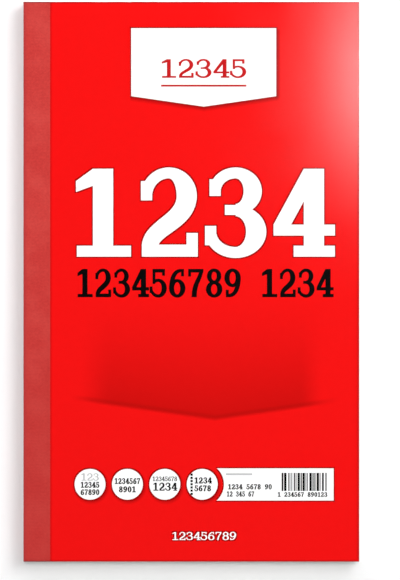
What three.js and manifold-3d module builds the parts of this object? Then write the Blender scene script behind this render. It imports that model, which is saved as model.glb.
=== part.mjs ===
// A duplicate book of numbered cash receipts, closed and lying on its back cover.
// Printed board covers and a hundred sets of leaves, an original and its duplicate in each, are
// wire-stitched through the side near the spine, and a cloth tape is wrapped round the spine over
// the stitches. The original of each set tears off along a perforation, and a carbon sheet lies
// loose between the first original and its duplicate.
// Millimetres, +Z up. The spine is towards -X and the head of the book towards +Y. The origin is
// the centre of the footprint, on the surface that the book lies on.
import * as THREE from 'three';
import { mergeVertices } from 'three/addons/utils/BufferGeometryUtils.js';
import Module from 'manifold-3d';

const manifold = await Module();
manifold.setup();

// The trimmed book, over the tape
const bookWidth = 126;
const bookHeight = 210;

// Sheet thicknesses
const coverBoard = 0.35;
const indexPaper = 0.1;
const leafPaper = 0.06;
const carbonPaper = 0.03;
const airGap = 0.005; // between two sheets that are pressed together

// Contents
const setsInBook = 100;
const looseSets = 2; // sets at the front that are made leaf by leaf
const turningSets = 10; // sets at the front that turn with the cover
const setsPerBlock = 10; // sets in each block of the rest

// Cloth tape
const tapeThickness = 0.22;
const tapeOverlap = 10; // how far it reaches over each cover, from the spine
const glueLine = 0.01; // between the tape and what it is stuck to

// The crease beside the tape, where the covers and leaves bend
const creaseGap = 0.3;
const foldStrip = 1; // leaves of a turning block hold together this far from the crease

// Side stitches of round wire
const wireDiameter = 0.45;
const wireClearance = 0.1; // all round the wire, in the sheets that it pierces
const stitchInset = 5; // from the spine to the line of the stitches
const stitchSpacing = 110; // from the middle of one stitch to the middle of the other
const crownLength = 14; // between the two legs of a stitch
const clinchLength = 5.5; // what is bent over at the back, from each leg

// Perforation of the originals
const tearInset = 3.5; // from the crease to the line of slits
const slitLength = 2.1;
const slitWidth = 0.3;
const slitPitch = 3.2;
const slitMargin = 1.6; // least paper between the last slit and the sheet's edge

// Carbon sheet, trimmed smaller than the leaves
const carbonForeMargin = 1.5;
const carbonHeadMargin = 3;
const carbonCreaseMargin = 5.5; // it stops just past the perforation

const spineX = -bookWidth / 2;
const foreEdgeX = bookWidth / 2;
const sheetX = spineX + tapeThickness + glueLine; // the bound edge of every sheet
const boundEndX = spineX + tapeOverlap; // the end of the tape and of what it holds still
const turningX = boundEndX + creaseGap;
const hingeX = boundEndX + creaseGap / 2;
const boundWidth = boundEndX - sheetX;
const turningWidth = foreEdgeX - turningX;
const leafPitch = leafPaper + airGap;

const colours = {
  cover_board: { color: 0xf51414, roughness: 0.3 },
  spine_cloth: { color: 0xcc4440, roughness: 0.85 },
  original_paper: { color: 0xf7f6f0, roughness: 0.9 },
  duplicate_paper: { color: 0xf6efcf, roughness: 0.9 },
  index_paper: { color: 0xf2f0e6, roughness: 0.85 },
  carbon_paper: { color: 0x1b2140, roughness: 0.4 },
  stitching_wire: { color: 0xb8bcc0, roughness: 0.35, metalness: 1 },
};
const materials = Object.fromEntries(
  Object.entries(colours).map(([name, look]) => [name, new THREE.MeshStandardMaterial(look)]),
);

// The stack, from the back cover up. A layer is one sheet, or a block of leaves, and its z is
// worked out from what lies under it.
function blockLayers() {
  const blocks = [];
  for (let last = setsInBook; last > turningSets; last -= setsPerBlock) {
    const first = Math.max(last - setsPerBlock, turningSets) + 1;
    const onTop = first === turningSets + 1; // its top original is a layer of its own
    const leaves = 2 * (last - first + 1) - (onTop ? 1 : 0);
    blocks.push({ name: `sets_${first}_to_${last}`, leaves, kind: 'still_block' });
  }
  return blocks;
}

function looseLayers() {
  const sheets = [];
  for (let set = looseSets; set >= 1; set -= 1) {
    sheets.push({ name: `duplicate_${set}`, kind: 'duplicate' });
    if (set === 1) sheets.push({ name: 'carbon_sheet', thickness: carbonPaper, kind: 'carbon' });
    sheets.push({ name: `original_${set}`, kind: 'original' });
  }
  return sheets;
}

const turningBlockName = `sets_${looseSets + 1}_to_${turningSets}`;
const layers = [
  { name: 'back_cover', thickness: coverBoard, kind: 'back_cover' },
  ...blockLayers(),
  { name: `original_${turningSets + 1}`, kind: 'still_original' },
  { name: turningBlockName, leaves: 2 * (turningSets - looseSets), kind: 'turning_block' },
  ...looseLayers(),
  { name: 'index_sheet', thickness: indexPaper, kind: 'index' },
  { name: 'front_cover', thickness: coverBoard, kind: 'front_cover' },
];

let level = tapeThickness + glueLine;
for (const layer of layers) {
  layer.thickness ??= (layer.leaves ?? 1) * leafPitch - airGap;
  layer.z = level;
  level += layer.thickness + airGap;
}
const boardBottomZ = layers[0].z;
const boardTopZ = level - airGap;
const bookThickness = boardTopZ + glueLine + tapeThickness;

// Manifold-3d solids, for the cuts

function toSolid(geometry) {
  const bare = geometry.index ? geometry.toNonIndexed() : geometry.clone();
  bare.deleteAttribute('normal');
  bare.deleteAttribute('uv');
  const merged = mergeVertices(bare, 1e-4);
  return new manifold.Manifold(new manifold.Mesh({
    numProp: 3,
    vertProperties: merged.attributes.position.array,
    triVerts: new Uint32Array(merged.index.array),
  }));
}

function toGeometry(solid) {
  const mesh = solid.getMesh();
  const geometry = new THREE.BufferGeometry();
  geometry.setAttribute('position', new THREE.BufferAttribute(mesh.vertProperties, 3));
  geometry.setIndex(new THREE.BufferAttribute(mesh.triVerts, 1));
  return geometry;
}

// Outlines and profiles

// A rectangular sheet of the given width, its bound edge at x 0, lying on z 0.
function sheetOutline(width, height = bookHeight) {
  return new THREE.Shape()
    .moveTo(0, -height / 2)
    .lineTo(width, -height / 2)
    .lineTo(width, height / 2)
    .lineTo(0, height / 2)
    .closePath();
}

function layFlat(outline, thickness) {
  return new THREE.ExtrudeGeometry(outline, { depth: thickness, bevelEnabled: false });
}

// Cuts the row of slits of the tear line into a sheet's outline, at x from its bound edge.
function perforate(outline, x) {
  const room = bookHeight - 2 * slitMargin - slitLength;
  const slits = Math.floor(room / slitPitch) + 1;
  for (let i = 0; i < slits; i += 1) {
    const y = (i - (slits - 1) / 2) * slitPitch;
    const slit = new THREE.Path()
      .moveTo(x - slitWidth / 2, y - slitLength / 2)
      .lineTo(x - slitWidth / 2, y + slitLength / 2)
      .lineTo(x + slitWidth / 2, y + slitLength / 2)
      .lineTo(x + slitWidth / 2, y - slitLength / 2)
      .closePath();
    outline.holes.push(slit);
  }
  return outline;
}

// Turns a profile drawn in x and z into a solid that runs from the foot to the head of the book.
function runAlongSpine(profile, curveSegments = 1) {
  return new THREE.ExtrudeGeometry(profile, { depth: bookHeight, bevelEnabled: false, curveSegments })
    .rotateX(Math.PI / 2)
    .translate(0, bookHeight / 2, 0);
}

// Leaves that are one solid up to x `held` and lie apart, an air gap between them, from there on.
function leafBlockProfile(leaves, held, width) {
  const profile = new THREE.Shape().moveTo(0, 0);
  for (let leaf = 0; leaf < leaves; leaf += 1) {
    const under = leaf * leafPitch;
    profile.lineTo(width, under).lineTo(width, under + leafPaper);
    if (leaf < leaves - 1) {
      profile.lineTo(held, under + leafPaper).lineTo(held, under + leafPitch);
    }
  }
  const top = (leaves - 1) * leafPitch + leafPaper;
  return profile.lineTo(0, top).closePath();
}

function tapeProfile() {
  const round = tapeThickness;
  return new THREE.Shape()
    .moveTo(tapeOverlap, 0)
    .lineTo(round, 0)
    .absarc(round, round, round, -Math.PI / 2, Math.PI, true)
    .lineTo(0, bookThickness - round)
    .absarc(round, bookThickness - round, round, Math.PI, Math.PI / 2, true)
    .lineTo(tapeOverlap, bookThickness)
    .lineTo(tapeOverlap, bookThickness - tapeThickness)
    .lineTo(tapeThickness, bookThickness - tapeThickness)
    .lineTo(tapeThickness, tapeThickness)
    .lineTo(tapeOverlap, tapeThickness)
    .closePath();
}

// Wire stitches: a crown let into the front board, two legs down through the book, and their
// ends clinched towards each other in the back board.

const wireRadius = wireDiameter / 2;
const roomRadius = wireRadius + wireClearance;
const bendRadius = roomRadius; // the wire bends round the edge of its hole
const crownZ = boardTopZ - wireRadius;
const clinchZ = boardBottomZ + wireRadius;
const stitchX = spineX + stitchInset;
const stitchYs = [stitchSpacing / 2, -stitchSpacing / 2];

// The wire's centreline in y and z, about the stitch's middle, with its corners rounded.
function stitchCentreline() {
  const leg = crownLength / 2;
  const tip = leg - clinchLength;
  const half = [[leg, crownZ], [leg, clinchZ], [tip, clinchZ]].map(([y, z]) => new THREE.Vector2(y, z));
  const otherHalf = half.map((corner) => new THREE.Vector2(-corner.x, corner.y)).reverse();
  const corners = [...otherHalf, ...half];
  const bendSteps = 3;
  const points = [corners[0]];
  for (let i = 1; i < corners.length - 1; i += 1) {
    const towards = (other) => other.clone().sub(corners[i]).setLength(bendRadius);
    const back = towards(corners[i - 1]);
    const on = towards(corners[i + 1]);
    const centre = corners[i].clone().add(back).add(on);
    for (let step = 0; step <= bendSteps; step += 1) {
      const turned = Math.PI / 2 * step / bendSteps;
      const spoke = on.clone().multiplyScalar(-Math.cos(turned)).addScaledVector(back, -Math.sin(turned));
      points.push(spoke.add(centre));
    }
  }
  points.push(corners.at(-1));
  return points;
}

// Sweeps a round section along a line in the y-z plane. Each ring stands square across the bend.
function sweepWire(line, radius, sides) {
  const positions = [];
  const index = [];
  line.forEach((point, i) => {
    const forward = (line[i + 1] ?? point).clone().sub(line[i - 1] ?? point).normalize();
    const across = new THREE.Vector2(forward.y, -forward.x);
    for (let side = 0; side < sides; side += 1) {
      const angle = 2 * Math.PI * (side + 0.5) / sides;
      const reach = radius * Math.sin(angle);
      positions.push(radius * Math.cos(angle), point.x + across.x * reach, point.y + across.y * reach);
    }
  });
  for (let ring = 0; ring < line.length - 1; ring += 1) {
    for (let side = 0; side < sides; side += 1) {
      const a = ring * sides + side;
      const b = ring * sides + (side + 1) % sides;
      index.push(a, b, b + sides, a, b + sides, a + sides);
    }
  }
  const lastRing = (line.length - 1) * sides;
  for (let side = 1; side < sides - 1; side += 1) {
    index.push(0, side + 1, side, lastRing, lastRing + side, lastRing + side + 1);
  }
  const geometry = new THREE.BufferGeometry();
  geometry.setAttribute('position', new THREE.Float32BufferAttribute(positions, 3));
  geometry.setIndex(index);
  return geometry;
}

// What has to be cut away for one stitch, at its place in the book.
function stitchRoom(stitchY) {
  const reach = 1; // how far the cuts run out past the boards
  const roomWidth = 2 * roomRadius;
  const leg = crownLength / 2;
  const crownFloor = crownZ - roomRadius;
  const clinchRoof = clinchZ + roomRadius;
  const box = (y, z, length, depth) => toSolid(
    new THREE.BoxGeometry(roomWidth, length, depth).translate(stitchX, stitchY + y, z),
  );
  const crownDepth = boardTopZ + reach - crownFloor;
  let room = box(0, crownFloor + crownDepth / 2, crownLength + roomWidth, crownDepth);
  for (const end of [-1, 1]) {
    const legHole = new THREE.CylinderGeometry(roomRadius, roomRadius, boardTopZ + 2 * reach, 6)
      .scale(1 / Math.cos(Math.PI / 6), 1, 1 / Math.cos(Math.PI / 6))
      .rotateX(Math.PI / 2)
      .translate(stitchX, stitchY + end * leg, boardTopZ / 2);
    const clinchRun = clinchLength + roomWidth;
    const clinchMiddle = leg + roomRadius - clinchRun / 2;
    const clinchDepth = clinchRoof - boardBottomZ + reach;
    room = room.add(toSolid(legHole));
    room = room.add(box(end * clinchMiddle, clinchRoof - clinchDepth / 2, clinchRun, clinchDepth));
  }
  return room;
}

const allStitchRoom = stitchYs.map(stitchRoom).reduce((all, room) => all.add(room));

// Cuts the stitches' room out of a sheet or block whose bound edge stands at sheetX, at height z.
function pierce(geometry, z) {
  const room = allStitchRoom.translate([-sheetX, 0, -z]);
  return toGeometry(toSolid(geometry).subtract(room));
}

// Assembly

const book = new THREE.Group();
const binding = new THREE.Group();
const frontCrease = new THREE.Group();
frontCrease.position.set(hingeX, 0, bookThickness);
const backCrease = new THREE.Group();
backCrease.position.set(hingeX, 0, 0);
book.add(binding, frontCrease, backCrease);

// Adds a piece to a group, at a place given in the book's own frame.
function place(name, geometry, material, group, x, z) {
  const mesh = new THREE.Mesh(geometry, materials[material]);
  mesh.name = name;
  mesh.position.set(x, 0, z).sub(group.position);
  group.add(mesh);
  return mesh;
}

// The part of a sheet or block that the tape and the stitches hold still.
function placeBoundEdge(layer, material) {
  const edge = pierce(layFlat(sheetOutline(boundWidth), layer.thickness), layer.z);
  place(`${layer.name}_bound_edge`, edge, material, binding, sheetX, layer.z);
}

// A sheet that turns: its bound edge stays in the binding and the rest hangs on the crease.
function placeTurningSheet(layer, material, crease, outline = sheetOutline(turningWidth)) {
  placeBoundEdge(layer, material);
  place(layer.name, layFlat(outline, layer.thickness), material, crease, turningX, layer.z);
}

const makers = {
  back_cover: (layer) => placeTurningSheet(layer, 'cover_board', backCrease),
  still_block: (layer) => {
    const profile = leafBlockProfile(layer.leaves, boundWidth, foreEdgeX - sheetX);
    place(layer.name, pierce(runAlongSpine(profile), layer.z), 'original_paper', binding, sheetX, layer.z);
  },
  still_original: (layer) => {
    const outline = perforate(sheetOutline(foreEdgeX - sheetX), turningX - sheetX + tearInset);
    const leaf = pierce(layFlat(outline, layer.thickness), layer.z);
    place(layer.name, leaf, 'original_paper', binding, sheetX, layer.z);
  },
  turning_block: (layer) => {
    placeBoundEdge(layer, 'original_paper');
    const profile = leafBlockProfile(layer.leaves, foldStrip, turningWidth);
    place(layer.name, runAlongSpine(profile), 'original_paper', frontCrease, turningX, layer.z);
  },
  duplicate: (layer) => placeTurningSheet(layer, 'duplicate_paper', frontCrease),
  carbon: (layer) => {
    const width = turningWidth - carbonCreaseMargin - carbonForeMargin;
    const sheet = layFlat(sheetOutline(width, bookHeight - 2 * carbonHeadMargin), layer.thickness);
    place(layer.name, sheet, 'carbon_paper', frontCrease, turningX + carbonCreaseMargin, layer.z);
  },
  original: (layer) => {
    const outline = perforate(sheetOutline(turningWidth), tearInset);
    placeTurningSheet(layer, 'original_paper', frontCrease, outline);
  },
  index: (layer) => placeTurningSheet(layer, 'index_paper', frontCrease),
  front_cover: (layer) => placeTurningSheet(layer, 'cover_board', frontCrease),
};
for (const layer of layers) makers[layer.kind](layer);

stitchYs.forEach((stitchY, i) => {
  const wireSides = 8;
  const stitch = sweepWire(stitchCentreline(), wireRadius, wireSides);
  const name = i === 0 ? 'head_stitch' : 'foot_stitch';
  place(name, stitch, 'stitching_wire', binding, stitchX, 0).position.y = stitchY;
});

const cornerSegments = 4;
place('spine_tape', runAlongSpine(tapeProfile(), cornerSegments), 'spine_cloth', binding, spineX, 0);

export default book;
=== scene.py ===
import math
import random
from collections import namedtuple

import bpy
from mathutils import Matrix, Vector
from mathutils.geometry import delaunay_2d_cdt


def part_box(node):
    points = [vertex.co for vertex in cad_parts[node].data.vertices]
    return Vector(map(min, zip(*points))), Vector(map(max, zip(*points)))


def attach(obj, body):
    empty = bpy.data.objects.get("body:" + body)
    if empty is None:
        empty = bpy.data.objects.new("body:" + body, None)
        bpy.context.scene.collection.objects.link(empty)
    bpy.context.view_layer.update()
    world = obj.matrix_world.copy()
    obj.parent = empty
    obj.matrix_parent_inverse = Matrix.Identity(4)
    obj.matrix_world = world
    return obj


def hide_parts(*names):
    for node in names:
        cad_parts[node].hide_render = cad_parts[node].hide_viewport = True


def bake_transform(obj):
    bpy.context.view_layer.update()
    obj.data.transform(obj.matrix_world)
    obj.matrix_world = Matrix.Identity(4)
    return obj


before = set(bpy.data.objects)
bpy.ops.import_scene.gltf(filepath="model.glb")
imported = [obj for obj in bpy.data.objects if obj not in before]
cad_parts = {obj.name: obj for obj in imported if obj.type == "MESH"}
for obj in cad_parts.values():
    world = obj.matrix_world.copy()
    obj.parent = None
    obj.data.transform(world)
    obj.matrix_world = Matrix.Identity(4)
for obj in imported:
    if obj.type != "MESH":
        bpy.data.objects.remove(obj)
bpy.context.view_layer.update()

# The back cover: one board, red on the outside and bare grey-white pulp inside, guillotined with
# the leaves. Its bound edge lies under the stitches and the tape, and the rest bends out from them.
MM = 0.001  # sheets are laid out in millimetres, and the scene is in metres
Box = namedtuple("Box", "left right foot head bottom top")


def box_in_mm(node):
    low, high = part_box(node)
    return Box(*[side / MM for side in (low.x, high.x, low.y, high.y, low.z, high.z)])


CREASE_START = box_in_mm("spine_tape").right  # where the tape lets go of the covers and leaves
BOARD_CREASE = 1.4  # the width of the strip that a board bends in
BOARD_STEP = 0.2  # between the lines along that strip
FLAT_STEP = 20.0  # and between those beyond it
ROW_STEP = 30.0  # from foot to head
BOARD_RED = (0.8, 0.0035, 0.0035, 1)
# Painted shade: the red darkens along the crease beside the tape and along the rim of the board.
CREASE_AND_RIM_SHADE_RED = (0.3, 0.003, 0.004, 1)  # along the crease and the rim
PULP_WHITE = (0.74, 0.71, 0.65, 1)
PULP_CUT = (0.7, 0.62, 0.55, 1)
FLECK_BROWN = (0.25, 0.2, 0.15, 1)
PULP_SURFACE = {"Roughness": 0.85, "Specular IOR Level": 0.25}


def put(tree, kind, sockets=(), **settings):
    """Adds a node to a tree. Each of its sockets gets a value, or the output that feeds it."""
    node = tree.nodes.new(kind)
    for setting, value in settings.items():
        setattr(node, setting, value)
    for socket, value in dict(sockets).items():
        if isinstance(value, bpy.types.NodeSocket):
            tree.links.new(value, node.inputs[socket])
        else:
            node.inputs[socket].default_value = value
    return node


def sums(tree, operation, *terms):
    return put(tree, "ShaderNodeMath", dict(enumerate(terms)), operation=operation).outputs[0]


def times(tree, first, *others):
    """The product of two factors or more."""
    for other in others:
        first = sums(tree, "MULTIPLY", first, other)
    return first


def ramp(tree, value, low, high, at_low=0.0, at_high=1.0):
    """Runs smoothly from one value to another as the input goes from low to high."""
    sockets = {"Value": value, "From Min": low, "From Max": high, "To Min": at_low, "To Max": at_high}
    return put(tree, "ShaderNodeMapRange", sockets, interpolation_type="SMOOTHSTEP").outputs[0]


def over(tree, amount, under, top):
    """Lays one colour over another. 6 and 7 are the mix node's own places for two colours."""
    return put(tree, "ShaderNodeMix", {0: amount, 6: under, 7: top}, data_type="RGBA").outputs[2]


def noise(tree, place, scale, detail, roughness=0.5, distortion=0.0):
    sockets = {"Vector": place, "Scale": scale, "Detail": detail, "Roughness": roughness,
               "Distortion": distortion}
    return put(tree, "ShaderNodeTexNoise", sockets).outputs[0]


def split(tree, place):
    """The x, y and z of a place."""
    return list(put(tree, "ShaderNodeSeparateXYZ", {0: place}).outputs)


def shared_effect(name, takes, gives):
    """A node group, with its entry and exit sockets."""
    group = bpy.data.node_groups.new(name, "ShaderNodeTree")
    for label, kind in takes.items():
        group.interface.new_socket(label, in_out="INPUT", socket_type="NodeSocket" + kind)
    for label, kind in gives.items():
        group.interface.new_socket(label, in_out="OUTPUT", socket_type="NodeSocket" + kind)
    return group, put(group, "NodeGroupInput").outputs, put(group, "NodeGroupOutput").inputs


def place_effect(tree, group, sockets):
    return put(tree, "ShaderNodeGroup", sockets, node_tree=group).outputs


def make_fibres():
    """Paper and board are felted from fibres: cloudy when seen whole, and faintly rough close by."""
    takes = {"Place": "Vector", "Colour": "Color", "Clouds": "Float", "Flecks": "Float"}
    group, given, made = shared_effect("pulp_fibres", takes, {"Colour": "Color", "Height": "Float"})
    clouds = noise(group, given["Place"], 0.35, 4.0)
    fibres = noise(group, given["Place"], 5.5, 3.0, 0.7, 1.4)
    flecks = noise(group, given["Place"], 1.7, 1.0)
    cloud_shift = times(group, sums(group, "SUBTRACT", clouds, 0.5), given["Clouds"])
    fibre_shift = times(group, sums(group, "SUBTRACT", fibres, 0.5), given["Clouds"])
    brightness = sums(group, "ADD", 1.0, sums(group, "ADD", cloud_shift, fibre_shift))
    toned = put(group, "ShaderNodeVectorMath", {0: given["Colour"], "Scale": brightness}, operation="SCALE")
    fleck_mask = times(group, ramp(group, flecks, 0.72, 0.78), given["Flecks"])
    group.links.new(over(group, fleck_mask, toned.outputs[0], FLECK_BROWN), made["Colour"])
    group.links.new(fibres, made["Height"])
    return group


def make_rim_shade_and_scuffs():
    """The rim of a trimmed sheet: Rim is a painted shade along the cut, and Scuffs are where handling has
    worn it, densest at the cut and broken up.
    """
    takes = {"Place": "Vector", "Fore edge": "Float", "Half height": "Float", "Reach": "Float"}
    group, given, made = shared_effect("rim_shade_and_scuffs", takes, {"Rim": "Float", "Scuffs": "Float"})
    x, y, _ = split(group, given["Place"])
    to_fore_edge = sums(group, "SUBTRACT", given["Fore edge"], x)
    to_end = sums(group, "SUBTRACT", given["Half height"], sums(group, "ABSOLUTE", y))
    nearest = sums(group, "MINIMUM", times(group, to_fore_edge, 0.75), to_end)
    nearness = sums(group, "SUBTRACT", 1.0, sums(group, "DIVIDE", nearest, given["Reach"]))
    rim = sums(group, "MAXIMUM", nearness, 0.0)
    rubbing = noise(group, given["Place"], 1.1, 5.0, 0.75)
    scuffs = ramp(group, sums(group, "MULTIPLY_ADD", rim, 0.1, rubbing), 0.74, 0.84)
    group.links.new(rim, made["Rim"])
    group.links.new(times(group, scuffs, rim), made["Scuffs"])
    return group


pulp_fibres = make_fibres()
rim_shade_and_scuffs = make_rim_shade_and_scuffs()


def felted(tree, place, colour, clouds, flecks=0.0):
    """Gives a material its fibres."""
    sockets = {"Place": place, "Colour": colour, "Clouds": clouds, "Flecks": flecks}
    return place_effect(tree, pulp_fibres, sockets)


def finish(name, constants=()):
    """A material whose patterns are laid out on the flat sheet, in mm, so that they bend with it.
    constants are values for the shader's own sockets."""
    material = bpy.data.materials.new(name)
    material.use_nodes = True
    tree = material.node_tree
    shader = tree.nodes["Principled BSDF"].inputs
    for socket, value in dict(constants).items():
        shader[socket].default_value = value
    place = put(tree, "ShaderNodeAttribute", attribute_name="laid_mm").outputs["Vector"]
    return material, tree, shader, place


def roughen(tree, height, strength, depth_mm, shader):
    sockets = {"Height": height, "Strength": strength, "Distance": depth_mm * MM}
    tree.links.new(put(tree, "ShaderNodeBump", sockets).outputs[0], shader["Normal"])


def printed_board(name, printing=None):
    """Board with a film of glossy red over it. printing adds what else is in the red."""
    material, tree, shader, place = finish(name, {"Specular IOR Level": 0.4})
    fibres = felted(tree, place, BOARD_RED, 0.05)
    cover = box_in_mm("front_cover")
    shaded_and_scuffed_rim = place_effect(tree, rim_shade_and_scuffs, {"Place": place, "Fore edge": cover.right,
                                              "Half height": cover.head, "Reach": 1.6})
    colour = fibres["Colour"]
    if printing:
        colour = printing(tree, place, colour)
    # Painted shade along the crease beside the tape: the red darkens where the board turns out of the
    # binding.
    from_tape = sums(tree, "SUBTRACT", split(tree, place)[0], CREASE_START)
    colour = over(tree, ramp(tree, from_tape, 0.1, 1.1, 0.4, 0.0), colour, CREASE_AND_RIM_SHADE_RED)
    # Painted shade: a dark line along the rim of the board.
    colour = over(tree, ramp(tree, shaded_and_scuffed_rim["Rim"], 0.47, 0.875, 0.0, 0.65), colour, CREASE_AND_RIM_SHADE_RED)
    colour = over(tree, times(tree, shaded_and_scuffed_rim["Scuffs"], 0.4), colour, PULP_WHITE)
    tree.links.new(colour, shader["Base Color"])
    glossy = ramp(tree, noise(tree, place, 0.08, 3.0), 0.3, 0.7, 0.08, 0.1)
    tree.links.new(sums(tree, "MULTIPLY_ADD", shaded_and_scuffed_rim["Scuffs"], 0.5, glossy), shader["Roughness"])
    roughen(tree, fibres["Height"], 0.03, 0.02, shader)
    return material


def bare_pulp(name, colour, clouds, flecks):
    material, tree, shader, place = finish(name, PULP_SURFACE)
    fibres = felted(tree, place, colour, clouds, flecks)
    tree.links.new(fibres["Colour"], shader["Base Color"])
    roughen(tree, fibres["Height"], 0.3, 0.03, shader)
    return material


def cells(columns, rows, bottom, top, slits=()):
    """One closed sheet between two heights, made of cells. Those inside a slit are left open.
    Gives its points, and its faces by kind: 0 looks up, 1 looks down and 2 is a cut edge."""
    across = len(columns)
    layer = across * len(rows)
    points = [(x, y, z) for z in (bottom, top) for y in rows for x in columns]

    def is_paper(i, j):
        if not (0 <= i < across - 1 and 0 <= j < len(rows) - 1):
            return False
        x = (columns[i] + columns[i + 1]) / 2
        y = (rows[j] + rows[j + 1]) / 2
        return not any(left < x < right and low < y < high for left, low, right, high in slits)

    faces = {0: [], 1: [], 2: []}
    for j in range(len(rows) - 1):
        for i in range(across - 1):
            if not is_paper(i, j):
                continue
            a = j * across + i
            corners = (a, a + 1, a + 1 + across, a + across)
            faces[0].append([corner + layer for corner in corners])
            faces[1].append(corners[::-1])
            beside = ((i, j - 1), (i + 1, j), (i, j + 1), (i - 1, j))
            for side, neighbour in enumerate(beside):
                if not is_paper(*neighbour):
                    p, q = corners[side], corners[(side + 1) % 4]
                    faces[2].append((p, q, q + layer, p + layer))
    return points, faces


def add_piece(name, shells, materials):
    """Joins shells, each its points in mm and its faces by kind, into one piece of the book."""
    points = []
    faces = []
    kinds = []
    for shell_points, shell_faces in shells:
        for kind, group in shell_faces.items():
            faces += [[corner + len(points) for corner in face] for face in group]
            kinds += [kind] * len(group)
        points += shell_points
    used = sorted({corner for face in faces for corner in face})
    renumbered = {corner: i for i, corner in enumerate(used)}
    points = [points[corner] for corner in used]
    mesh = bpy.data.meshes.new(name)
    mesh.from_pydata([[c * MM for c in point] for point in points], [],
                     [[renumbered[corner] for corner in face] for face in faces])
    for material in materials:
        mesh.materials.append(material)
    mesh.polygons.foreach_set("material_index", kinds)
    laid = mesh.attributes.new("laid_mm", "FLOAT_VECTOR", "POINT")
    laid.data.foreach_set("vector", [c for point in points for c in point])
    mesh.polygons.foreach_set("use_smooth", [True] * len(faces))
    mesh.set_sharp_from_angle(angle=math.radians(50))
    piece = bpy.data.objects.new(name, mesh)
    bpy.context.scene.collection.objects.link(piece)
    return piece


def spread(start, end, most):
    """Even steps from start to end, none longer than most."""
    steps = math.ceil((end - start) / most - 1e-6)
    return [start + (end - start) * i / steps for i in range(steps + 1)]


def crease_columns(node, crease, step):
    """Where a sheet is divided: closely in the strip that bends, and widely from there on."""
    bend = spread(CREASE_START, CREASE_START + crease, step)
    flat = spread(bend[-1], box_in_mm(node).right, FLAT_STEP)
    return [box_in_mm(node + "_bound_edge").left, *bend, *flat[1:]]


def bend_at_crease(piece, node):
    """The piece is a node and its bound edge in one sheet. Hides the parts for both, and bakes the piece's
    placing into its points."""
    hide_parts(node, node + "_bound_edge")
    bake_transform(piece)


def add_board(node, materials):
    box = box_in_mm(node)
    columns = crease_columns(node, BOARD_CREASE, BOARD_STEP)
    rows = spread(box.foot, box.head, ROW_STEP)
    board = add_piece(node + "_board", [cells(columns, rows, box.bottom, box.top)], materials)
    bend_at_crease(board, node)


board_inside = bare_pulp("bare_board", PULP_WHITE, 0.06, 0.5)
board_cut = bare_pulp("cut_board", PULP_CUT, 0.2, 0.2)
back_red = printed_board("plain_red_board")
add_board("back_cover", [board_inside, back_red, board_cut])

# The still leaves: ninety sets that stay flat when the front of the book is open. Each leaf is a
# separate sheet of thin paper, held along the spine by the stitches. The guillotine left their
# three free edges a hair out of line.
LEAF = 0.06
LEAF_PITCH = 0.065
TRIM_SCATTER = 0.14  # how far a leaf's edge may lie inside the trimmed size
WHITE_PAPER = (0.79, 0.79, 0.77, 1)
COPY_PAPER = (0.79, 0.75, 0.61, 1)
CUT_WHITE = (0.9, 0.9, 0.87, 1)  # the cut edges catch the light
CUT_COPY = (0.88, 0.84, 0.69, 1)
CUT_SHADE = (0.58, 0.53, 0.45, 1)
trim = random.Random(100)


def stretched(tree, place, by):
    return put(tree, "ShaderNodeVectorMath", {0: place, 1: by}, operation="MULTIPLY").outputs[0]


def cut_leaves(name, colour):
    """The edges of a pile of leaves: streaks along the cut, and a shadow between leaves here and
    there where one lies back from its neighbours."""
    material, tree, shader, place = finish(name, {"Roughness": 0.9, "Specular IOR Level": 0.2})
    streaks = noise(tree, stretched(tree, place, (0.05, 0.05, 9.0)), 1.0, 6.0, 0.8)
    fibres = felted(tree, place, colour, 0.08)
    shade = ramp(tree, streaks, 0.34, 0.58, 0.4, 0.0)
    tree.links.new(over(tree, shade, fibres["Colour"], CUT_SHADE), shader["Base Color"])
    roughen(tree, streaks, 0.5, 0.05, shader)
    return material


def leaf_shell(columns, half_height, bottom, rows=(), slits=()):
    """One leaf, trimmed a little unevenly at its three free edges. rows are those between its ends."""
    inside = TRIM_SCATTER * trim.random() ** 2
    fore_edge = columns[-1] - TRIM_SCATTER * trim.random() ** 2
    rows = [-half_height + inside, *rows, half_height - inside]
    return cells([*columns[:-1], fore_edge], rows, bottom, bottom + LEAF, slits)


white_leaf = bare_pulp("white_leaf", WHITE_PAPER, 0.03, 0.0)
copy_leaf = bare_pulp("copy_leaf", COPY_PAPER, 0.05, 0.0)
white_cut = cut_leaves("white_leaf_edge", CUT_WHITE)
copy_cut = cut_leaves("copy_leaf_edge", CUT_COPY)
white_papers = [white_leaf, white_leaf, white_cut]
copy_papers = [copy_leaf, copy_leaf, copy_cut]


def add_block(node, columns):
    """A block of sets. The leaves are duplicates and originals by turns, from the bottom up."""
    box = box_in_mm(node)
    shells = []
    for leaf in range(round((box.top - box.bottom) / LEAF_PITCH)):
        points, faces = leaf_shell(columns, box.head, box.bottom + leaf * LEAF_PITCH)
        first_kind = 0 if leaf % 2 else len(white_papers)
        shells.append((points, {kind + first_kind: group for kind, group in faces.items()}))
    return add_piece(node + "_leaves", shells, white_papers + copy_papers)


still_blocks = [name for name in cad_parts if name.startswith("sets_") and
                not name.endswith("bound_edge") and name != "sets_3_to_10"]
for name in sorted(still_blocks, key=lambda node: box_in_mm(node).bottom):
    block = add_block(name, [box_in_mm(name).left, box_in_mm(name).right])
    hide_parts(name)
    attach(block, "binding")

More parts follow.
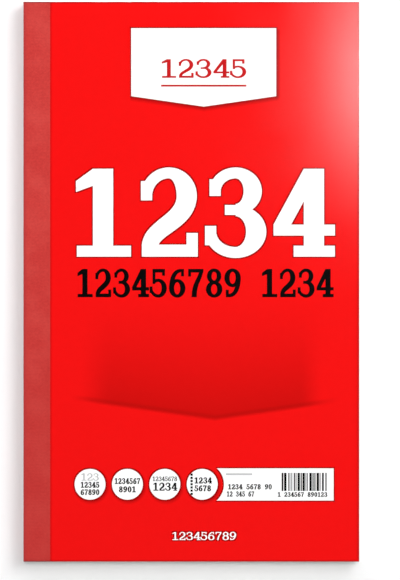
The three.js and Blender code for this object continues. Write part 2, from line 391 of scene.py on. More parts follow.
# The ruled forms: each leaf is printed on its front with feint blue lines to write on and red
# cash columns. The original of each set has a row of slits beside the crease to tear it off by,
# and every leaf of a set carries the set's number.
FEINT_BLUE = (0.2, 0.38, 0.66, 1)
CASH_RED = (0.72, 0.12, 0.1, 1)
RULE_WIDTH = 0.34
RULE_STRENGTH = 0.85
HEADING_WIDTH = 1.6 * RULE_WIDTH
HEADING_STRENGTH = 0.9
TEAR_LINE = -49.2  # x of the middle of the slits
SLIT_WIDTH = 0.3
SLIT_LENGTH = 2.1
SLIT_PITCH = 3.2
SLIT_MARGIN = 1.6
PAGE_LEFT = -44.0
PAGE_RIGHT = 58.0


def within(tree, value, low, high):
    return times(tree, sums(tree, "GREATER_THAN", value, low), sums(tree, "LESS_THAN", value, high))


def make_rules():
    """Evenly spaced rules across one direction of a sheet, from a first to a last."""
    takes = {label: "Float" for label in ("Across", "First", "Pitch", "Last", "Width")}
    group, given, made = shared_effect("printed_rules", takes, {"Rules": "Float"})
    turns = sums(group, "DIVIDE", sums(group, "SUBTRACT", given["Across"], given["First"]), given["Pitch"])
    off = sums(group, "ABSOLUTE", sums(group, "SUBTRACT", turns, sums(group, "ROUND", turns)))
    half = times(group, given["Width"], 0.5)
    ruled = sums(group, "LESS_THAN", times(group, off, given["Pitch"]), half)
    inside = within(group, given["Across"], sums(group, "SUBTRACT", given["First"], half),
                    sums(group, "ADD", given["Last"], half))
    group.links.new(times(group, ruled, inside), made["Rules"])
    return group


printed_rules = make_rules()


def ruled_leaf(name, colour, clouds, feint, columns, heading):
    """A leaf's printed front. Rules are their first, their pitch and their last, in mm: feint in y,
    and lists of them in x for the columns and in y for the heading."""
    material, tree, shader, place = finish(name, PULP_SURFACE)
    fibres = felted(tree, place, colour, clouds)
    x, y, _ = split(tree, place)

    def rule(under, across, rules, width, where, strength, ink):
        first, pitch, last = rules
        sockets = {"Across": across, "First": first, "Pitch": pitch, "Last": last, "Width": width}
        lines = place_effect(tree, printed_rules, sockets)["Rules"]
        return over(tree, times(tree, lines, where, strength), under, ink)

    on_page = within(tree, x, PAGE_LEFT, PAGE_RIGHT)
    in_table = within(tree, y, feint[0], feint[2])
    inked = rule(fibres["Colour"], y, feint, RULE_WIDTH, on_page, RULE_STRENGTH, FEINT_BLUE)
    for rules in columns:
        inked = rule(inked, x, rules, RULE_WIDTH, in_table, RULE_STRENGTH, CASH_RED)
    for rules in heading:
        inked = rule(inked, y, rules, HEADING_WIDTH, on_page, HEADING_STRENGTH, CASH_RED)
    tree.links.new(inked, shader["Base Color"])
    roughen(tree, fibres["Height"], 0.3, 0.03, shader)
    return material


receipt_form = {
    "feint": (-92.0, 8.0, 68.0),
    "columns": [(24.0, 0.8, 24.8), (42.0, 0.8, 42.8), (51.0, 1.0, 51.0)],
    "heading": [(68.0, 1.0, 69.0), (-93.0, 1.0, -92.0)],
}
original_front = ruled_leaf("ruled_original", WHITE_PAPER, 0.03, **receipt_form)
duplicate_front = ruled_leaf("ruled_duplicate", COPY_PAPER, 0.05, **receipt_form)


def tear_slits(half_height):
    room = 2 * (half_height - SLIT_MARGIN) - SLIT_LENGTH
    count = math.floor(room / SLIT_PITCH + 1e-6) + 1
    slits = []
    for i in range(count):
        middle = (i - (count - 1) / 2) * SLIT_PITCH
        slits.append((TEAR_LINE - SLIT_WIDTH / 2, middle - SLIT_LENGTH / 2,
                      TEAR_LINE + SLIT_WIDTH / 2, middle + SLIT_LENGTH / 2))
    return slits


def perforated(columns, half_height, bottom):
    """A leaf with its row of slits cut right through."""
    slits = tear_slits(half_height)
    columns = sorted({*columns, TEAR_LINE - SLIT_WIDTH / 2, TEAR_LINE + SLIT_WIDTH / 2})
    rows = [y for slit in slits for y in (slit[1], slit[3])]
    return leaf_shell(columns, half_height, bottom, rows, slits)


# Numerals are drawn as overlapping strokes in a box 1 high: square slabs and stems, bands bent
# round an ellipse, and ribbons that taper from one end to the other.
NUMERAL_WIDTH = 0.66  # as a share of the height
NUMERAL_PITCH = 0.74  # from one numeral to the next
BAND_STEP = 6  # degrees


def bar(left, bottom, right, top):
    return [(left, bottom), (right, bottom), (right, top), (left, top)]


def arc(centre, reach, turns):
    return [(centre[0] + reach[0] * math.cos(a), centre[1] + reach[1] * math.sin(a)) for a in turns]


def band(centre, reach, start, end, side, cap):
    """Part of a ring from one angle to another. It is `side` thick at the sides, `cap` above and below."""
    steps = math.ceil(abs(end - start) / BAND_STEP)
    turns = [math.radians(start + (end - start) * i / steps) for i in range(steps + 1)]
    return arc(centre, reach, turns) + arc(centre, (reach[0] - side, reach[1] - cap), turns)[::-1]


def ring(centre, reach, side, cap):
    return [band(centre, reach, 0, 180, side, cap), band(centre, reach, 180, 360, side, cap)]


def ribbon(start, leaving, arriving, end, start_width, end_width, steps=20):
    """A curved stroke between two points, pulled towards two others on its way."""
    left = []
    right = []
    for i in range(steps + 1):
        t = i / steps
        shares = ((1 - t) ** 3, 3 * t * (1 - t) ** 2, 3 * t * t * (1 - t), t ** 3)
        slopes = (-3 * (1 - t) ** 2, 3 * (1 - t) * (1 - 3 * t), 3 * t * (2 - 3 * t), 3 * t * t)
        pulls = (start, leaving, arriving, end)
        middle = Vector([sum(share * pull[k] for share, pull in zip(shares, pulls)) for k in (0, 1)])
        along = Vector([sum(slope * pull[k] for slope, pull in zip(slopes, pulls)) for k in (0, 1)])
        across = Vector((-along.y, along.x)).normalized() * (start_width + (end_width - start_width) * t) / 2
        left.append(tuple(middle + across))
        right.append(tuple(middle - across))
    return left + right[::-1]


def turned(strokes):
    return [[(NUMERAL_WIDTH - x, 1 - y) for x, y in stroke] for stroke in strokes]


def numeral_shapes(stem, slab):
    """The strokes of each numeral, for upright strokes and slabs of a given weight."""
    bowl = 0.9 * stem
    middle = (NUMERAL_WIDTH - stem) / 2
    neck = NUMERAL_WIDTH - 0.03 - stem / 2
    six = [*ring((0.33, 0.315), (0.33, 0.33), stem, slab), bar(0.6 - slab, 0.74, 0.6, 1),
           ribbon((stem / 2, 0.315), (stem / 2, 0.75), (0.26, 1 - slab / 2), (0.5, 1 - slab / 2), stem, slab)]
    return {
        "0": ring((0.33, 0.5), (0.33, 0.515), stem, slab),
        "1": [bar(middle, 0, middle + stem, 1), bar(0.04, 0, 0.64, slab),
              [(0.03, 0.86 - slab), (middle, 0.93 - slab), (middle + stem / 2, 1), (middle, 1),
               (0.03, 0.86)]],
        "2": [band((0.32, 0.69), (0.31, 0.325), 90, -8, stem, slab),
              band((0.32, 0.69), (0.31, 0.325), 90, 172, slab, slab),
              ribbon((neck, 0.69), (neck, 0.4), (0.04 + 0.4 * stem, 0.34), (0.02 + 0.4 * stem, slab),
                     stem, 0.8 * stem),
              bar(0.01, 0.64, 0.01 + slab, 0.86), bar(0.02, 0, 0.64, 1.1 * slab),
              bar(0.64 - slab, 0, 0.64, 0.27)],
        "3": [band((0.32, 0.745), (0.29, 0.27), 90, -90, bowl, slab),
              band((0.32, 0.745), (0.29, 0.27), 90, 172, slab, slab),
              band((0.32, 0.285), (0.34, 0.3), -90, 90, stem, slab),
              band((0.32, 0.285), (0.34, 0.3), -90, -172, slab, slab),
              bar(0.03, 0.69, 0.03 + slab, 0.88), bar(0.2, 0.475, 0.35, 0.475 + 0.9 * slab),
              bar(-0.02, 0.13, slab - 0.02, 0.35)],
        "4": [bar(0.56 - stem, 0, 0.56, 1), bar(0, 0.24, 0.68, 0.24 + slab),
              bar(0.56 - 1.5 * stem, 0, 0.68, slab),
              [(0, 0.24 + slab), (0, 0.3), (0.02 + 0.62 * stem, 0.3), (0.56 - stem / 2, 0.84),
               (0.56 - stem / 2, 1), (0.56 - stem, 1)]],
        "5": [bar(0.08, 1 - 1.1 * slab, 0.58, 1), bar(0.58 - slab, 0.76, 0.58, 1),
              bar(0.08, 0.47, 0.08 + slab, 1), bar(-0.035, 0.15, slab - 0.035, 0.38),
              band((0.31, 0.32), (0.345, 0.335), -90, 90, stem, slab),
              band((0.31, 0.32), (0.345, 0.335), 90, 128, slab, slab),
              band((0.31, 0.32), (0.345, 0.335), -90, -172, slab, slab)],
        "6": six,
        "7": [bar(0.03, 1 - 1.1 * slab, 0.64, 1), bar(0.03, 0.73, 0.03 + slab, 1),
              ribbon((0.64 - 0.35 * stem, 0.96), (0.5, 0.62), (0.27, 0.5), (0.27, 0), 0.7 * stem, stem)],
        "8": [*ring((0.33, 0.745), (0.29, 0.27), bowl, slab),
              *ring((0.33, 0.28), (0.33, 0.295), stem, slab)],
        "9": turned(six),
    }


DENSE = numeral_shapes(0.26, 0.16)
HEAVY = numeral_shapes(0.225, 0.125)
BOLD = numeral_shapes(0.21, 0.115)
MEDIUM = numeral_shapes(0.165, 0.1)


def line_width(text):
    """As a share of the height of its numerals."""
    return (len(text) - 1) * NUMERAL_PITCH + NUMERAL_WIDTH


def numerals(text, left, right, baseline, height, shapes=MEDIUM):
    """A line of numerals that just fills the width between left and right. Gives outlines in mm."""
    narrowing = (right - left) / (height * line_width(text))
    outlines = []
    for place, numeral in enumerate(text):
        for stroke in shapes.get(numeral, []):
            outlines.append([(left + height * narrowing * (x + place * NUMERAL_PITCH), baseline + height * y)
                             for x, y in stroke])
    return outlines


def counterclockwise(outline):
    after = outline[1:] + outline[:1]
    area = sum(x * next_y - next_x * y for (x, y), (next_x, next_y) in zip(outline, after))
    return outline if area > 0 else outline[::-1]


def film_shell(outlines, bottom, thickness):
    """Overlapping outlines as one closed film, with the holes that they leave between them open."""
    outlines = [counterclockwise(outline) for outline in outlines]
    corners = [Vector(corner) for outline in outlines for corner in outline]
    starts = [sum(len(outline) for outline in outlines[:i]) for i in range(len(outlines))]
    loops = [list(range(start, start + len(outline))) for start, outline in zip(starts, outlines)]
    flat, _, triangles, _, _, owners = delaunay_2d_cdt(corners, [], loops, 1, 1e-5)
    filled = [triangle for triangle, owner in zip(triangles, owners) if owner]
    count = len(flat)
    points = [(p.x, p.y, z) for z in (bottom, bottom + thickness) for p in flat]
    sides = {(a, b) for triangle in filled for a, b in zip(triangle, [*triangle[1:], triangle[0]])}
    rim = [(a, b, b + count, a + count) for a, b in sides if (b, a) not in sides]
    return points, {0: [[corner + count for corner in triangle] for triangle in filled] +
                    [triangle[::-1] for triangle in filled] + sorted(rim)}


def ink_finish(name, colour, roughness):
    """Ink lies a little thicker in some places than in others."""
    material, tree, shader, place = finish(name, {"Roughness": roughness, "Specular IOR Level": 0.1})
    fibres = felted(tree, place, colour, 0.04)
    tree.links.new(fibres["Colour"], shader["Base Color"])
    roughen(tree, fibres["Height"], 0.1, 0.02, shader)
    return material


LEAF_INK = 0.004
NUMBER_HEIGHT = 5.0
NUMBER_BASELINE = 86.0
number_ink = ink_finish("number_ink", (0.62, 0.02, 0.02, 1), 0.5)


def number_leaf(node, number, body):
    """The set's number, printed near the head of the leaf at the fore-edge."""
    left = PAGE_RIGHT - NUMBER_HEIGHT * line_width(number)
    outlines = numerals(number, left, PAGE_RIGHT, NUMBER_BASELINE, NUMBER_HEIGHT)
    printed = add_piece(node + "_number", [film_shell(outlines, box_in_mm(node).top, LEAF_INK)], [number_ink])
    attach(printed, body)


# Original 11 is the first leaf that stays behind when the front of the book is opened. It is thin
# white paper with the form and a row of slits, held in the binding like the leaves below it.
original_papers = [original_front, white_leaf, white_cut]
top_leaf = box_in_mm("original_11")
top_shell = perforated([top_leaf.left, top_leaf.right], top_leaf.head, top_leaf.bottom)
original_11 = add_piece("original_11_leaf", [top_shell], original_papers)
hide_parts("original_11")
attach(original_11, "binding")
number_leaf("original_11", "11", "binding")

# The turning leaves: sets 3 to 10 turn as one block, and the leaves of sets 1 and 2 one by one.
# Thin paper curls out of the binding in a soft bend instead of a crease.
LEAF_BEND = 5.2
LEAF_STEP = 0.7  # between the lines along the bend
duplicate_papers = [duplicate_front, copy_leaf, copy_cut]


def bend_columns(node):
    return crease_columns(node, LEAF_BEND, LEAF_STEP)


# The uppermost leaf of the block is original 3, which shows its form once sets 1 and 2 are turned.
turning_block = add_block("sets_3_to_10", bend_columns("sets_3_to_10"))
turning_block.data.materials.append(original_front)
form_kind = len(turning_block.data.materials) - 1
block_top = max(polygon.center.z for polygon in turning_block.data.polygons)
for polygon in turning_block.data.polygons:
    if polygon.normal.z > 0.5 and block_top - polygon.center.z < LEAF_PITCH * MM / 4:
        polygon.material_index = form_kind
bend_at_crease(turning_block, "sets_3_to_10")
number_leaf("sets_3_to_10", "3", "sets_3_to_10")


def add_turning_leaf(node, number, make_shell, materials):
    box = box_in_mm(node)
    leaf = add_piece(node + "_leaf", [make_shell(bend_columns(node), box.head, box.bottom)], materials)
    bend_at_crease(leaf, node)
    number_leaf(node, number, node)


for number in ("2", "1"):
    add_turning_leaf("duplicate_" + number, number, leaf_shell, duplicate_papers)
    add_turning_leaf("original_" + number, number, perforated, original_papers)

# The carbon sheet: tissue coated with blue-black wax, laid loose on the duplicate with the waxed
# side down. It shines unevenly where it has been handled, and has one cut corner to draw it by.
CARBON_BLUE = (0.012, 0.017, 0.06, 1)
CUT_CORNER = 14.0


def waxed_tissue():
    material, tree, shader, place = finish("carbon_tissue")
    tree.links.new(felted(tree, place, CARBON_BLUE, 0.5)["Colour"], shader["Base Color"])
    smears = noise(tree, place, 0.05, 6.0, distortion=2.0)
    tree.links.new(ramp(tree, smears, 0.3, 0.7, 0.28, 0.55), shader["Roughness"])
    roughen(tree, smears, 0.25, 0.3, shader)
    return material


tissue = box_in_mm("carbon_sheet")
tissue_outline = [(tissue.left, tissue.foot), (tissue.right, tissue.foot),
                  (tissue.right, tissue.head - CUT_CORNER), (tissue.right - CUT_CORNER, tissue.head),
                  (tissue.left, tissue.head)]
tissue_shell = film_shell([tissue_outline], tissue.bottom, tissue.top - tissue.bottom)
carbon = add_piece("carbon_tissue_sheet", [tissue_shell], [waxed_tissue()])
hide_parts("carbon_sheet")
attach(carbon, "carbon_sheet")

# The index sheet: heavier cream paper behind the cover, ruled in columns for the list of accounts.
# It is stitched in with the leaves, and bends out of the binding as they do.
INDEX_CREAM = (0.76, 0.71, 0.57, 1)
index_front = ruled_leaf("ruled_index", INDEX_CREAM, 0.06, (-96.0, 7.0, 93.0),
                         [(-30.0, 0.8, -29.2), (0.0, 44.0, 44.0)], [(93.0, 1.0, 94.0)])
index_back = bare_pulp("index_paper", INDEX_CREAM, 0.06, 0.3)
index_cut = cut_leaves("index_edge", INDEX_CREAM)
index = box_in_mm("index_sheet")
index_shell = cells(bend_columns("index_sheet"), [index.foot, index.head], index.bottom, index.top)
index_leaf = add_piece("index_leaf", [index_shell], [index_front, index_back, index_cut])
bend_at_crease(index_leaf, "index_sheet")

# The front cover: the same board as the back, with shading printed in its red. A wide shallow
# chevron darkens towards its lower edge, and the white shapes have a soft shade under them.
CHEVRON_POINT = (8.9, -50.8)
CHEVRON_SLOPE = 0.142
CHEVRON_TOP = -7.0
CHEVRON_SIDES = (-43.0, -29.0, 40.0, 50.0)  # it fades in between the first two, out between the last
CHEVRON_STRENGTH = 0.56
LIP_SIDES = (-46.5, -35.0, 43.0, 57.0)
LIP_RISE = (-1.7, -0.1, 0.1, 1.4)  # from below the chevron's lower edge to above it
LIP_STRENGTH = 0.4
CHEVRON_RED = (0.36, 0.001, 0.0, 1)
SHADE_RED = (0.14, 0.001, 0.001, 1)
PANEL_LEFT, PANEL_RIGHT = -22.56, 31.86
PANEL_TOP, PANEL_SHOULDER, PANEL_POINT = 95.14, 69.62, 65.7
PANEL_MIDDLE = (PANEL_LEFT + PANEL_RIGHT) / 2
PANEL_SLOPE = (PANEL_SHOULDER - PANEL_POINT) / (PANEL_RIGHT - PANEL_MIDDLE)
PANEL_SHADE_SIDES = (PANEL_LEFT - 0.5, PANEL_LEFT, PANEL_RIGHT - 0.1, PANEL_RIGHT + 1.9)
PANEL_SHADE_SHIFT = 0.3  # the shades fall a little to the right
ROUND_Y = -76.0
ROUND_RADIUS = 5.8
ROUND_FIRST = -38.0
ROUND_PITCH = 14.03
ROUNDS = [(ROUND_FIRST + i * ROUND_PITCH, ROUND_Y) for i in range(4)]
ROUND_SHADE_SHIFT = (0.45, -0.65)
STRIP_RIGHT, STRIP_TOP, STRIP_FOOT = 53.4, -70.0, -82.1
STRIP_BITE = 8.15  # the radius cut out of the strip about the last round


def make_soft_shade():
    """The shade under a printed rectangle with rounded corners, or under a circle if it has no sides."""
    takes = {label: "Float" for label in ("Centre X", "Centre Y", "Half width", "Half height",
                                          "Rounding", "Softness", "Depth")}
    group, given, made = shared_effect("printed_shade", {"Place": "Vector", **takes}, {"Shade": "Float"})
    at = split(group, given["Place"])
    outside = []
    for axis, centre, half in ((0, "Centre X", "Half width"), (1, "Centre Y", "Half height")):
        offset = sums(group, "ABSOLUTE", sums(group, "SUBTRACT", at[axis], given[centre]))
        outside.append(sums(group, "MAXIMUM", sums(group, "SUBTRACT", offset, given[half]), 0.0))
    squares = [sums(group, "POWER", distance, 2.0) for distance in outside]
    distance = sums(group, "SQRT", sums(group, "ADD", *squares))
    near = sums(group, "SUBTRACT", given["Rounding"], given["Softness"])
    far = sums(group, "ADD", given["Rounding"], given["Softness"])
    group.links.new(ramp(group, distance, near, far, given["Depth"], 0.0), made["Shade"])
    return group


soft_shade = make_soft_shade()


def above_chevron(tree, at, point, slope):
    """How far a place lies above a wide shallow V, and where the V is there."""
    aside = sums(tree, "ABSOLUTE", sums(tree, "SUBTRACT", at[0], point[0]))
    edge = sums(tree, "MULTIPLY_ADD", aside, slope, point[1])
    return sums(tree, "SUBTRACT", at[1], edge), edge


def between(tree, value, low, full, still_full, high):
    return times(tree, ramp(tree, value, low, full), ramp(tree, value, still_full, high, 1.0, 0.0))


def front_shading(tree, place, colour):
    """The chevron with its lip, and the shades under the panel, the rounds and the strip."""
    at = split(tree, place)
    height, edge = above_chevron(tree, at, CHEVRON_POINT, CHEVRON_SLOPE)
    share = sums(tree, "DIVIDE", height, sums(tree, "SUBTRACT", CHEVRON_TOP, edge))
    fall = sums(tree, "POWER", sums(tree, "MAXIMUM", sums(tree, "SUBTRACT", 1.0, share), 0.0), 1.3)
    pocket = times(tree, fall, ramp(tree, height, -1.7, 0.1), between(tree, at[0], *CHEVRON_SIDES),
                   CHEVRON_STRENGTH)
    colour = over(tree, pocket, colour, CHEVRON_RED)
    lip = times(tree, between(tree, height, *LIP_RISE), between(tree, at[0], *LIP_SIDES), LIP_STRENGTH)
    colour = over(tree, lip, colour, CHEVRON_RED)
    below, _ = above_chevron(tree, at, (PANEL_MIDDLE + PANEL_SHADE_SHIFT, PANEL_POINT), PANEL_SLOPE)
    under_panel = times(tree, ramp(tree, below, -2.3, 0.3, 0.0, 0.8),
                        between(tree, at[0], *PANEL_SHADE_SIDES),
                        ramp(tree, at[1], PANEL_TOP - 1, PANEL_TOP, 1.0, 0.0))
    colour = over(tree, under_panel, colour, SHADE_RED)
    shades = [{"Centre X": x + ROUND_SHADE_SHIFT[0], "Centre Y": y + ROUND_SHADE_SHIFT[1],
               "Half width": 0.0, "Half height": 0.0, "Rounding": ROUND_RADIUS, "Softness": 1.5,
               "Depth": 0.95} for x, y in ROUNDS]
    shades.append({"Centre X": (ROUNDS[3][0] + STRIP_BITE + STRIP_RIGHT) / 2, "Half width": 16.0,
                   "Centre Y": (STRIP_TOP + STRIP_FOOT) / 2 - 0.2, "Rounding": 1.5, "Softness": 0.5,
                   "Half height": (STRIP_TOP - STRIP_FOOT) / 2 - 1.5, "Depth": 0.3})
    for shade in shades:
        amount = place_effect(tree, soft_shade, {"Place": place, **shade})["Shade"]
        colour = over(tree, amount, colour, SHADE_RED)
    return colour


front_red = printed_board("printed_red_board", front_shading)
add_board("front_cover", [front_red, board_inside, board_cut])

# The print on the cover: white, black, grey and red ink with a trace of thickness. Each white shape
# lies on a slightly larger one in dark red. Plain numerals fill the title, the line under it, the
# panel, the rounds, the strip and the foot.
UNDER_INK = 0.006
INK = 0.02
SECOND_INK = 0.012
KEYLINE = 0.45  # how far the dark red shows round the white
INK_GAP = 0.002  # keeps the ink clear of the board
INK_BOTTOM = box_in_mm("front_cover").top + INK_GAP
under_ink = ink_finish("under_ink", (0.3, 0.001, 0.001, 1), 0.15)
white_ink = ink_finish("white_ink", (0.9, 0.9, 0.9, 1), 0.3)
black_ink = ink_finish("black_ink", (0.0006, 0.0005, 0.0005, 1), 0.3)
grey_ink = ink_finish("grey_ink", (0.45, 0.45, 0.46, 1), 0.4)
red_ink = ink_finish("red_ink", (0.47, 0.006, 0.007, 1), 0.35)


def print_on_cover(name, outlines, material, on_white=False):
    """Shapes in one ink. What is printed on white lies on the white film."""
    bottom = INK_BOTTOM + (INK if on_white else 0)
    thickness = SECOND_INK if on_white else INK
    printed = add_piece(name, [film_shell(outlines, bottom, thickness)], [material])
    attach(printed, "front_cover")


def shifted(outlines, x, y):
    return [[(point[0] + x, point[1] + y) for point in outline] for outline in outlines]


def print_white(name, outlines):
    """White on a dark red that stands out all round it."""
    for_keyline = []
    for x, y in ((-1, -1), (-1, 1), (1, -1), (1, 1)):
        for_keyline += shifted(outlines, x * KEYLINE, y * KEYLINE)
    under = add_piece(name + "_keyline", [film_shell(for_keyline, INK_BOTTOM, UNDER_INK)], [under_ink])
    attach(under, "front_cover")
    print_on_cover(name, outlines, white_ink)


print_white("cover_title", numerals("1234", -44.3, 53.2, 9.4, 33.0, HEAVY))
print_on_cover("cover_second_line", numerals("123456789 1234", -43.0, 53.2, -5.8, 10.6, BOLD), black_ink)

panel = [(PANEL_LEFT, PANEL_TOP), (PANEL_LEFT, PANEL_SHOULDER), (PANEL_MIDDLE, PANEL_POINT),
         (PANEL_RIGHT, PANEL_SHOULDER), (PANEL_RIGHT, PANEL_TOP)]
print_white("panel", [panel])
PANEL_PRINT_LEFT, PANEL_PRINT_RIGHT = PANEL_MIDDLE - 16.0, PANEL_MIDDLE + 16.0
panel_print = numerals("12345", PANEL_PRINT_LEFT, PANEL_PRINT_RIGHT, 76.5, 7.0)
panel_print += [bar(PANEL_PRINT_LEFT, 73.2, PANEL_PRINT_RIGHT, 73.9)]
print_on_cover("panel_numerals", panel_print, red_ink, on_white=True)


def disc(centre, radius, steps=56):
    return arc(centre, (radius, radius), [2 * math.pi * i / steps for i in range(steps)])


print_white("rounds", [disc(centre, ROUND_RADIUS) for centre in ROUNDS])
# Which round, its numerals, their left, right, baseline and height in it, and their weight.
round_lines = [
    (0, "12345", -3.5, 3.5, -1.3, 2.2, DENSE), (0, "67890", -3.5, 3.5, -4.0, 2.1, DENSE),
    (1, "1234567", -4.8, 4.8, 0.1, 2.2, DENSE), (1, "8901", -3.2, 3.2, -3.0, 2.2, DENSE),
    (3, "1234", -2.9, 3.6, 0.3, 2.3, DENSE), (3, "5678", -2.9, 3.3, -2.6, 2.2, DENSE),
    (2, "1234", -4.4, 4.6, -2.4, 3.0, HEAVY), (2, "12345678", -4.6, 4.6, 1.2, 1.7, BOLD)]
round_print = []
for which, *line in round_lines:
    round_print += shifted(numerals(*line), *ROUNDS[which])
round_print += shifted([bar(-4.4, y, -3.55, y + 0.85) for y in spread(-4.0, 3.2, 1.2)], *ROUNDS[3])
print_on_cover("round_numerals", round_print, black_ink, on_white=True)
print_on_cover("faint_numerals", shifted(numerals("123", -3.3, 3.3, 1.4, 2.7), *ROUNDS[0]), grey_ink,
               on_white=True)

BITE_STEPS = 18
STRIPES_LEFT, STRIPES_RIGHT = 33.9, 51.0
STRIPES_FOOT, STRIPES_TOP = -78.5, -71.7


def strip_outline():
    """The last round takes a bite out of the strip."""
    top = math.asin((STRIP_TOP - ROUND_Y) / STRIP_BITE)
    foot = math.asin((STRIP_FOOT - ROUND_Y) / STRIP_BITE)
    turns = [top + (foot - top) * i / BITE_STEPS for i in range(BITE_STEPS + 1)]
    return [*arc(ROUNDS[3], (STRIP_BITE, STRIP_BITE), turns), (STRIP_RIGHT, STRIP_FOOT),
            (STRIP_RIGHT, STRIP_TOP)]


def uneven_stripes():
    """Upright stripes in a row. Chance sets how thick each is, and how far it is to the next."""
    chance = random.Random(7)
    stripes = []
    left = STRIPES_LEFT
    while left < STRIPES_RIGHT:
        thickness = chance.choice((0.3, 0.45, 0.65, 0.9))
        stripes.append(bar(left, STRIPES_FOOT, left + thickness, STRIPES_TOP))
        left += thickness + chance.choice((0.25, 0.4, 0.6))
    return stripes


print_white("strip", [strip_outline()])
strip_print = []
for line in (("1234 5678 90", 13.8, 30.2, -77.9, 1.95), ("12 345 67", 13.3, 23.6, -80.6, 1.95),
             ("1 234567 890123", 32.4, 51.0, -80.7, 1.75)):
    strip_print += numerals(*line, DENSE)
strip_print += uneven_stripes()
print_on_cover("strip_print", strip_print, black_ink, on_white=True)
print_on_cover("strip_rule", [bar(13.0, -72.5, 22.8, -71.9)], grey_ink, on_white=True)
print_white("foot_numerals", numerals("123456789", -7.2, 16.8, -96.9, 3.0))

# The stitches: two lengths of round tinned wire through the whole book, clinched at the back. The
# tape hides them, and they show only if it is peeled off.
TIN_BRIGHT = (0.5, 0.52, 0.55, 1)
TIN_DULL = (0.34, 0.34, 0.36, 1)


def tinned_wire():
    material, tree, shader, _ = finish("tinned_wire", {"Metallic": 1.0})
    dulled = noise(tree, put(tree, "ShaderNodeTexCoord").outputs["Object"], 900.0, 3.0)
    tree.links.new(over(tree, ramp(tree, dulled, 0.4, 0.7), TIN_BRIGHT, TIN_DULL), shader["Base Color"])
    tree.links.new(ramp(tree, dulled, 0.35, 0.7, 0.28, 0.5), shader["Roughness"])
    return material


wire = tinned_wire()
for name in ("head_stitch", "foot_stitch"):
    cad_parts[name].data.materials.clear()
    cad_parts[name].data.materials.append(wire)

# The spine tape: red book cloth, glued over the stitches from the front cover round the spine to
# the back. Its weft shows as fine ribs across the book, and its cut ends are a little frayed.
CLOTH_RED = (0.585, 0.047, 0.041, 1)
# Painted shade: the cloth is darker in the hollows between the threads.
CLOTH_SHADE_IN_HOLLOWS = (0.41, 0.024, 0.021, 1)
CLOTH_WORN = (0.7, 0.1, 0.085, 1)
# Painted shade: the cloth grows darker towards the foot, where the light falls off.
CLOTH_SHADE_TOWARDS_FOOT = (0.41, 0.02, 0.018, 1)
# Painted shade: the cloth darkens where it turns down round the spine.
CLOTH_SHADE_AT_SPINE = (0.38, 0.035, 0.035, 1)
CLOTH_FRAYED = (0.22, 0.02, 0.02, 1)
RIB_PITCH = 0.56
RIB_DEPTH = 0.035
WARP_PITCH = 0.5
GLUE_LINE = 0.01
TAPE = box_in_mm("spine_tape")
TAPE_THICKNESS = box_in_mm("original_11").left - TAPE.left - GLUE_LINE
TAPE_STEP = 2.0
CORNER_STEPS = 4  # in each of the two corners that it turns round the spine


def woven_cloth():
    material, tree, shader, place = finish("book_cloth", {
        "Roughness": 0.8, "Specular IOR Level": 0.2, "Sheen Weight": 0.25, "Sheen Roughness": 0.5})
    x, y, z = split(tree, place)
    along_wrap = sums(tree, "SUBTRACT", x, z)
    weft = sums(tree, "SINE", times(tree, y, 2 * math.pi / RIB_PITCH))
    warp = sums(tree, "SINE", times(tree, along_wrap, 2 * math.pi / WARP_PITCH))
    slubs = noise(tree, stretched(tree, place, (1.3, 1.5, 1.3)), 0.85, 5.0, 0.7)
    worn = noise(tree, place, 0.12, 3.0)
    height = sums(tree, "MULTIPLY_ADD", times(tree, weft, warp), 0.35, slubs)
    from_spine = sums(tree, "SUBTRACT", x, TAPE.left)
    from_cut_end = sums(tree, "SUBTRACT", TAPE.head, sums(tree, "ABSOLUTE", y))
    # Painted shade in the hollows of the weave.
    tone = over(tree, ramp(tree, height, 0.22, 0.78), CLOTH_SHADE_IN_HOLLOWS, CLOTH_RED)
    tone = over(tree, ramp(tree, worn, 0.35, 0.75, 0.0, 0.25), tone, CLOTH_WORN)
    # Painted shade, darker towards the foot.
    tone = over(tree, ramp(tree, y, TAPE.foot, 60.0, 0.42, 0.0), tone, CLOTH_SHADE_TOWARDS_FOOT)
    # Painted shade along the spine edge.
    tone = over(tree, ramp(tree, from_spine, 0.2, 1.5, 0.85, 0.0), tone, CLOTH_SHADE_AT_SPINE)
    tone = over(tree, ramp(tree, from_cut_end, 0.15, 0.7, 0.8, 0.0), tone, CLOTH_FRAYED)
    tree.links.new(tone, shader["Base Color"])
    roughen(tree, height, 0.5, 0.06, shader)
    return material


def tape_section(ribbing):
    """The tape's outline in x and z, from the front strip's free edge round to its inside. Its
    outer face lies below the full thickness by ribbing."""
    inner = TAPE.left + TAPE_THICKNESS
    reach = TAPE_THICKNESS - ribbing
    along = spread(inner, TAPE.right, TAPE_STEP)
    points = [(x, TAPE.top - ribbing) for x in along[::-1]]
    for middle_z, start in ((TAPE.top - TAPE_THICKNESS, 90), (TAPE_THICKNESS, 180)):
        turns = [math.radians(start + 90 * step / CORNER_STEPS) for step in range(1, CORNER_STEPS + 1)]
        points += arc((inner, middle_z), (reach, reach), turns)
    points += [(x, ribbing) for x in along[1:]]
    points += [(TAPE.right, TAPE_THICKNESS), (inner, TAPE_THICKNESS), (inner, TAPE.top - TAPE_THICKNESS),
               (TAPE.right, TAPE.top - TAPE_THICKNESS)]
    return points


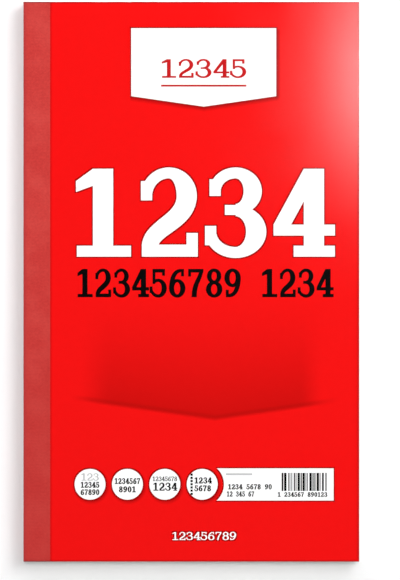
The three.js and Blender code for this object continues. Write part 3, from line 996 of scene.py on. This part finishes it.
def ribbed_tape():
    """One section after another from foot to head, joined and closed at both ends."""
    rows = spread(-TAPE.head, TAPE.head, RIB_PITCH / 4)
    sections = [tape_section(RIB_DEPTH * (0.5 - 0.5 * math.cos(2 * math.pi * y / RIB_PITCH))) for y in rows]
    around = len(sections[0])
    points = [(x, y, z) for y, section in zip(rows, sections) for x, z in section]
    faces = [(row * around + i, row * around + (i + 1) % around,
              (row + 1) * around + (i + 1) % around, (row + 1) * around + i)
             for row in range(len(rows) - 1) for i in range(around)]
    foot_end = list(range(around))[::-1]
    head_end = [(len(rows) - 1) * around + i for i in range(around)]
    return points, {0: [*faces, foot_end, head_end]}


tape = add_piece("cloth_tape", [ribbed_tape()], [woven_cloth()])
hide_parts("spine_tape")
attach(tape, "binding")

# The floor is a wide sheet of white card. Over it hang a high lamp, a soft key at the upper right,
# a strip at the head, weak fills at the left and the foot, and one panel almost overhead that the
# gloss of the cover catches at its fore-edge.
FLOOR_SIZE = 6.0
FLOOR_WHITE = (0.9, 0.9, 0.9, 1)
FLOOR_GRAIN = (0.88, 0.88, 0.885, 1)


def floor_card():
    material, tree, shader, _ = finish("floor_card", {"Roughness": 0.95, "Specular IOR Level": 0.0})
    grain = noise(tree, put(tree, "ShaderNodeTexCoord").outputs["Object"], 40.0, 2.0)
    tree.links.new(over(tree, grain, FLOOR_GRAIN, FLOOR_WHITE), shader["Base Color"])
    return material


bpy.ops.mesh.primitive_plane_add(size=FLOOR_SIZE)
floor = bpy.context.object
floor.name = "floor"
floor.data.materials.append(floor_card())


def softbox(name, place, size, watts, aimed=True, mirrored=True):
    """A rectangular light, aimed at the book or else facing straight down. One that isn't mirrored
    lights the book without a reflection in its gloss."""
    light = bpy.data.lights.new(name, "AREA")
    light.shape = "RECTANGLE"
    light.size, light.size_y = size
    light.energy = watts
    lamp = bpy.data.objects.new(name, light)
    bpy.context.scene.collection.objects.link(lamp)
    lamp.location = place
    if aimed:
        lamp.rotation_euler = (-Vector(place)).to_track_quat("-Z", "Y").to_euler()
    lamp.visible_camera = False
    lamp.visible_glossy = mirrored
    light.cycles.use_multiple_importance_sampling = mirrored
    return light


softbox("overhead", (0.02, 0.2, 4.0), (0.25, 0.8), 74.5, aimed=False, mirrored=False)
softbox("key", (0.4, 0.25, 1.2), (0.42, 0.5), 6.4, aimed=False, mirrored=False)
softbox("head_strip", (0.0, 0.36, 0.6), (1.0, 0.1), 2.0)
softbox("left_fill", (-1.5, 0.2, 1.1), (1.2, 1.2), 0.93)
softbox("foot_fill", (0.4, -1.6, 1.1), (1.2, 1.2), 1.1)
GLOSS_SIZE = (0.2, 0.32)
GLOSS_GLOW = (0.0312, 0.0465)  # how far its glow spreads from its middle, across the book and along it
GLOSS_STEEPNESS = (2.7, 2.4)


def glow_from_middle(light):
    light.use_nodes = True
    tree = light.node_tree
    at = split(tree, put(tree, "ShaderNodeNewGeometry").outputs["Parametric"])
    falls = []
    for axis in (0, 1):
        from_middle = sums(tree, "ABSOLUTE", sums(tree, "SUBTRACT", at[axis], 0.5))
        spreads = times(tree, from_middle, GLOSS_SIZE[axis] / GLOSS_GLOW[axis])
        falls.append(sums(tree, "POWER", spreads, GLOSS_STEEPNESS[axis]))
    glow = sums(tree, "EXPONENT", times(tree, sums(tree, "ADD", *falls), -0.5))
    tree.links.new(glow, tree.nodes["Emission"].inputs["Strength"])


glow_from_middle(softbox("gloss_panel", (0.134, 0.1418, 1.2), GLOSS_SIZE, 2.9, aimed=False))

# The room round the floor: the camera sees a plain white wall, and the book gets a weak light from
# all sides.
WALL_WHITE = (0.97, 0.97, 0.97, 1)
ROOM_LIGHT = (0.1, 0.1, 0.102, 1)
world = bpy.data.worlds.new("studio")
bpy.context.scene.world = world
world.use_nodes = True
room = world.node_tree
seen = put(room, "ShaderNodeLightPath").outputs["Is Camera Ray"]
room.links.new(over(room, seen, ROOM_LIGHT, WALL_WHITE), room.nodes["Background"].inputs["Color"])

# The camera looks straight down at the cover, a little to the right of its middle and below it. Its
# picture takes in the whole cover, with a narrow margin of floor round it.
CAMERA_AIM = (0.00326, -0.0031)
CAMERA_HEIGHT = 1.6
SEEN_HEIGHT = 0.2176  # of the cover's plane, from top to bottom of the picture
SENSOR = 36.0
camera_data = bpy.data.cameras.new("camera")
camera_data.sensor_width = SENSOR
camera_data.lens = SENSOR * (CAMERA_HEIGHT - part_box("front_cover")[1].z) / SEEN_HEIGHT
camera = bpy.data.objects.new("camera", camera_data)
camera.location = (*CAMERA_AIM, CAMERA_HEIGHT)
bpy.context.scene.collection.objects.link(camera)
bpy.context.scene.camera = camera
bpy.context.scene.view_settings.view_transform = "Standard"
